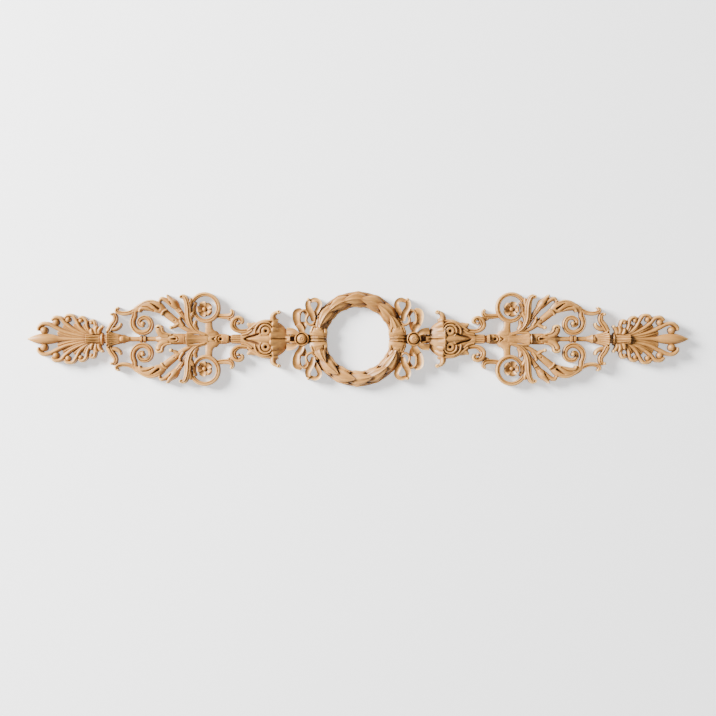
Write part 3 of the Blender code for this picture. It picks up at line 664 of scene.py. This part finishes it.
def surroundings(points):
    # A height map of the highest point in each cell, spread to its neighbours and then blurred
    # with a Gaussian: what stands around each place of the carving, in mm.
    cell, blur = layout["mapCell"], layout["mapBlur"]
    size = [int(2 * half / cell) for half in layout["mapHalf"]]
    place = []
    for k in (0, 1):
        index = ((points[:, k] + layout["mapHalf"][k]) / cell).astype(int)
        place.append(np.clip(index, 0, size[k] - 1))
    heights = np.zeros(size)
    np.maximum.at(heights, tuple(place), points[:, 2])
    for axis in (0, 1):
        heights = np.maximum(heights, np.maximum(np.roll(heights, 1, axis), np.roll(heights, -1, axis)))
    x = np.arange(-2 * blur, 2 * blur + 1)
    kernel = np.exp(-0.5 * (x / blur) ** 2)
    kernel /= kernel.sum()
    for axis in (0, 1):
        heights = np.apply_along_axis(np.convolve, axis, heights, kernel, "same")
    return heights[tuple(place)]


def makePiece(name, shells, tone, material):
    # One object from many shells, stood upright so that (u, v, relief) is (x, z, -y). The
    # attribute tone is (relief - surroundings) / span: below 0 in hollows, above 0 on crests; the
    # material paints shade where it is low and highlights where it is high. The attribute front is 0
    # on the flat back, which gets no painted shade or highlight, and 1 elsewhere.
    starts = np.cumsum([0] + [len(v) for v, f, c in shells])
    flat = np.vstack([v for v, f, c in shells])
    verts = np.column_stack([flat[:, 0] * layout["module"], -flat[:, 2] * layout["mm"],
                             flat[:, 1] * layout["module"] - layout["ringMid"]])
    quads = np.vstack([f + start for (v, f, c), start in zip(shells, starts)])
    caps = [(cap + start).tolist() for (v, f, c), start in zip(shells, starts) for cap in c]
    mesh = bpy.data.meshes.new(name)
    mesh.from_pydata(verts, [], quads.tolist() + caps)
    toneLayer = mesh.attributes.new("tone", "FLOAT", "POINT")
    toneLayer.data.foreach_set("value", (tone / layout["toneSpan"]).astype(np.float32))
    normals = np.zeros(len(mesh.polygons) * 3, np.float32)
    mesh.polygons.foreach_get("normal", normals)
    frontLayer = mesh.attributes.new("front", "FLOAT", "FACE")
    frontLayer.data.foreach_set("value", (normals[1::3] < layout["backLean"]).astype(np.float32))
    mesh.shade_smooth()
    mesh.set_sharp_from_angle(angle=math.radians(layout["sharpAngle"]))
    piece = bpy.data.objects.new(name, mesh)
    bpy.context.scene.collection.objects.link(piece)
    mesh.materials.append(material)
    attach(piece, "root")
    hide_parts(cadNode)
    print(name, "made,", 2 * len(quads) + sum(len(cap) - 2 for cap in caps), "triangles")


# Pale bare carving wood, sanded smooth, with painted shade in its hollows and painted highlights on its
# crests.
woodLook = {
    "light": (0.47, 0.225, 0.056, 1),
    "dark": (0.36, 0.155, 0.033, 1),
    # painted shade: the colour that hollows are darkened towards, where shadow would fall
    "deep": (0.07, 0.021, 0.005, 1),
    # painted highlight: the colour that crests are lightened towards
    "paintedHighlight": (0.92, 0.56, 0.18, 1),
    "roughness": 0.46,
    "grainStretch": (9, 60, 60),        # per metre: long along X, close across it
    "grainScale": 5, "grainDetail": 6, "grainWarp": 0.6, "grainRange": (0.3, 0.62),
    "poreScale": 420, "poreDetail": 3,
    "bump": 0.10, "bumpDepth": 0.0006,
    # how far hollows are painted towards the shade colour, and over which tones
    "paintedShadeShare": 0.92, "paintedShadeRange": (0.0, -0.6),        # tones from which and up to which
    # how far crests are painted towards the highlight colour, and over which tones
    "paintedHighlightShare": 0.70, "paintedHighlightRange": (0.3, 1.1),
}


def mapValue(nodes, links, value, span, most):
    # most (value - low) / (high - low), kept between 0 and most, for a span of (low, high).
    spread = nodes.new("ShaderNodeMapRange")
    spread.inputs["From Min"].default_value = span[0]
    spread.inputs["From Max"].default_value = span[1]
    spread.inputs["To Max"].default_value = most
    links.new(value, spread.inputs["Value"])
    return spread.outputs["Result"]


def mixColour(nodes, links, share, first, second):
    # first (1 - share) + second share. first is a socket or a colour, second a colour.
    mix = nodes.new("ShaderNodeMix")
    mix.data_type = "RGBA"
    links.new(share, mix.inputs["Factor"])
    if isinstance(first, tuple):
        mix.inputs["A"].default_value = first
    else:
        links.new(first, mix.inputs["A"])
    mix.inputs["B"].default_value = second
    return mix.outputs["Result"]


def makeWood(name, look):
    # Colour = mix(dark, light, grain), then towards a painted shade colour in hollows and a painted highlight
    # colour on high edges.
    wood = bpy.data.materials.new(name)
    wood.use_nodes = True
    nodes = wood.node_tree.nodes
    links = wood.node_tree.links
    shader = nodes["Principled BSDF"]
    coords = nodes.new("ShaderNodeTexCoord")
    stretch = nodes.new("ShaderNodeMapping")
    stretch.inputs["Scale"].default_value = look["grainStretch"]
    links.new(coords.outputs["Object"], stretch.inputs["Vector"])
    grain = nodes.new("ShaderNodeTexNoise")
    grain.inputs["Scale"].default_value = look["grainScale"]
    grain.inputs["Detail"].default_value = look["grainDetail"]
    grain.inputs["Distortion"].default_value = look["grainWarp"]
    links.new(stretch.outputs["Vector"], grain.inputs["Vector"])
    tone = nodes.new("ShaderNodeAttribute")
    tone.attribute_name = "tone"
    front = nodes.new("ShaderNodeAttribute")
    front.attribute_name = "front"
    shade = nodes.new("ShaderNodeMath")
    shade.operation = "MULTIPLY"
    links.new(tone.outputs["Fac"], shade.inputs[0])
    links.new(front.outputs["Fac"], shade.inputs[1])
    height = shade.outputs["Value"]
    grainShare = mapValue(nodes, links, grain.outputs["Fac"], look["grainRange"], 1)
    # share of painted shade in the hollows
    paintedShadeShare = mapValue(nodes, links, height, look["paintedShadeRange"], look["paintedShadeShare"])
    # share of painted highlight on the crests
    paintedHighlightShare = mapValue(nodes, links, height, look["paintedHighlightRange"], look["paintedHighlightShare"])
    colour = mixColour(nodes, links, grainShare, look["dark"], look["light"])
    # painted highlight on crests
    colour = mixColour(nodes, links, paintedHighlightShare, colour, look["paintedHighlight"])
    # painted shade in hollows
    colour = mixColour(nodes, links, paintedShadeShare, colour, look["deep"])
    links.new(colour, shader.inputs["Base Color"])
    pores = nodes.new("ShaderNodeTexNoise")
    pores.inputs["Scale"].default_value = look["poreScale"]
    pores.inputs["Detail"].default_value = look["poreDetail"]
    links.new(coords.outputs["Object"], pores.inputs["Vector"])
    bump = nodes.new("ShaderNodeBump")
    bump.inputs["Strength"].default_value = look["bump"]
    bump.inputs["Distance"].default_value = look["bumpDepth"]
    links.new(pores.outputs["Fac"], bump.inputs["Height"])
    links.new(bump.outputs["Normal"], shader.inputs["Normal"])
    shader.inputs["Roughness"].default_value = look["roughness"]
    return wood


wood = makeWood("bareCarvingWood", woodLook)
backs = itertools.count()
for shells in carving.values():
    for verts, faces, caps in shells:
        planeDown(verts)
        for knots in cuts:
            gouge(verts, knots)
        # No two shells end in one plane: each back lies a little deeper than the one before.
        verts[:, 2] = np.maximum(verts[:, 2], next(backs) * layout["backStep"])
allPoints = np.vstack([verts for shells in carving.values() for verts, faces, caps in shells])
# Tone: below 0 in hollows, which the wood paints with shade, above 0 on crests, which it paints with
# highlights.
allTones = allPoints[:, 2] - surroundings(allPoints)
lengths = [sum(len(verts) for verts, faces, caps in shells) for shells in carving.values()]
tones = np.split(allTones, np.cumsum(lengths)[:-1])
for (name, shells), tone in zip(carving.items(), tones):
    makePiece(name, shells, tone, wood)
print("shells in all:", next(backs))

# A plain white wall right behind the carving, a pale floor at its foot, soft light from the
# upper left, and the camera. Lengths are in metres and powers in watts.
stage = {
    "wallSize": 12, "wallGap": 0.0006, "floorSize": 90, "floorAt": -6,
    "paint": (0.93, 0.93, 0.93, 1), "paintRoughness": 0.9, "wallGlow": 0.75,
    "keyAt": (-3.2, -1.9, 1.3), "keySize": 1.5, "keyPower": 860,
    "fillAt": (2.2, -2.6, -0.3), "fillSize": 2.5, "fillPower": 10,
    "white": (1, 1, 1, 1), "ambient": 0.14,
    "cameraAt": (0, -2.2, -0.0882), "lens": 73.4,
}


def addLamp(name, at, size, power, target):
    # The lamp's -Z looks from `at` to the target: tilt from straight down, then turn about Z.
    lamp = bpy.data.lights.new(name, "AREA")
    lamp.size = size
    lamp.energy = power
    ob = bpy.data.objects.new(name, lamp)
    ob.location = at
    x, y, z = np.array(target) - np.array(at)
    ob.rotation_euler = (math.atan2(math.hypot(x, y), -z), 0, math.atan2(-x, y))
    bpy.context.scene.collection.objects.link(ob)


def makePaint(name, glow):
    # Matt white paint that gives off a little light of its own, as an overlit backdrop does.
    paint = bpy.data.materials.new(name)
    paint.use_nodes = True
    shader = paint.node_tree.nodes["Principled BSDF"]
    shader.inputs["Base Color"].default_value = stage["paint"]
    shader.inputs["Roughness"].default_value = stage["paintRoughness"]
    shader.inputs["Emission Color"].default_value = stage["white"]
    shader.inputs["Emission Strength"].default_value = glow
    return paint


def buildStage():
    # The wall can be seen through from behind, so that the flat back shows as well.
    paint = makePaint("wallPaint", stage["wallGlow"])
    nodes, links = paint.node_tree.nodes, paint.node_tree.links
    side = nodes.new("ShaderNodeNewGeometry")
    clear = nodes.new("ShaderNodeBsdfTransparent")
    mix = nodes.new("ShaderNodeMixShader")
    links.new(side.outputs["Backfacing"], mix.inputs[0])
    links.new(nodes["Principled BSDF"].outputs[0], mix.inputs[1])
    links.new(clear.outputs[0], mix.inputs[2])
    links.new(mix.outputs[0], nodes["Material Output"].inputs["Surface"])
    bpy.ops.mesh.primitive_plane_add(size=stage["wallSize"], location=(0, stage["wallGap"], 0),
                                     rotation=(math.pi / 2, 0, 0))
    wall = bpy.context.object
    wall.name = "wall"
    wall.data.materials.append(paint)
    bpy.ops.mesh.primitive_plane_add(size=stage["floorSize"], location=(0, 0, stage["floorAt"]))
    floor = bpy.context.object
    floor.name = "floor"
    floor.data.materials.append(makePaint("floorPaint", 0))
    middle = (0, 0, -layout["ringMid"])
    addLamp("key", stage["keyAt"], stage["keySize"], stage["keyPower"], middle)
    addLamp("fill", stage["fillAt"], stage["fillSize"], stage["fillPower"], middle)
    world = bpy.data.worlds.new("studio")
    world.use_nodes = True
    sky = world.node_tree.nodes["Background"]
    sky.inputs["Color"].default_value = stage["white"]
    sky.inputs["Strength"].default_value = stage["ambient"]
    bpy.context.scene.world = world
    camera = bpy.data.cameras.new("camera")
    camera.lens = stage["lens"]
    cameraOb = bpy.data.objects.new("camera", camera)
    cameraOb.location = stage["cameraAt"]
    cameraOb.rotation_euler = (math.pi / 2, 0, 0)
    bpy.context.scene.collection.objects.link(cameraOb)
    bpy.context.scene.camera = cameraOb


buildStage()
print("stage set")
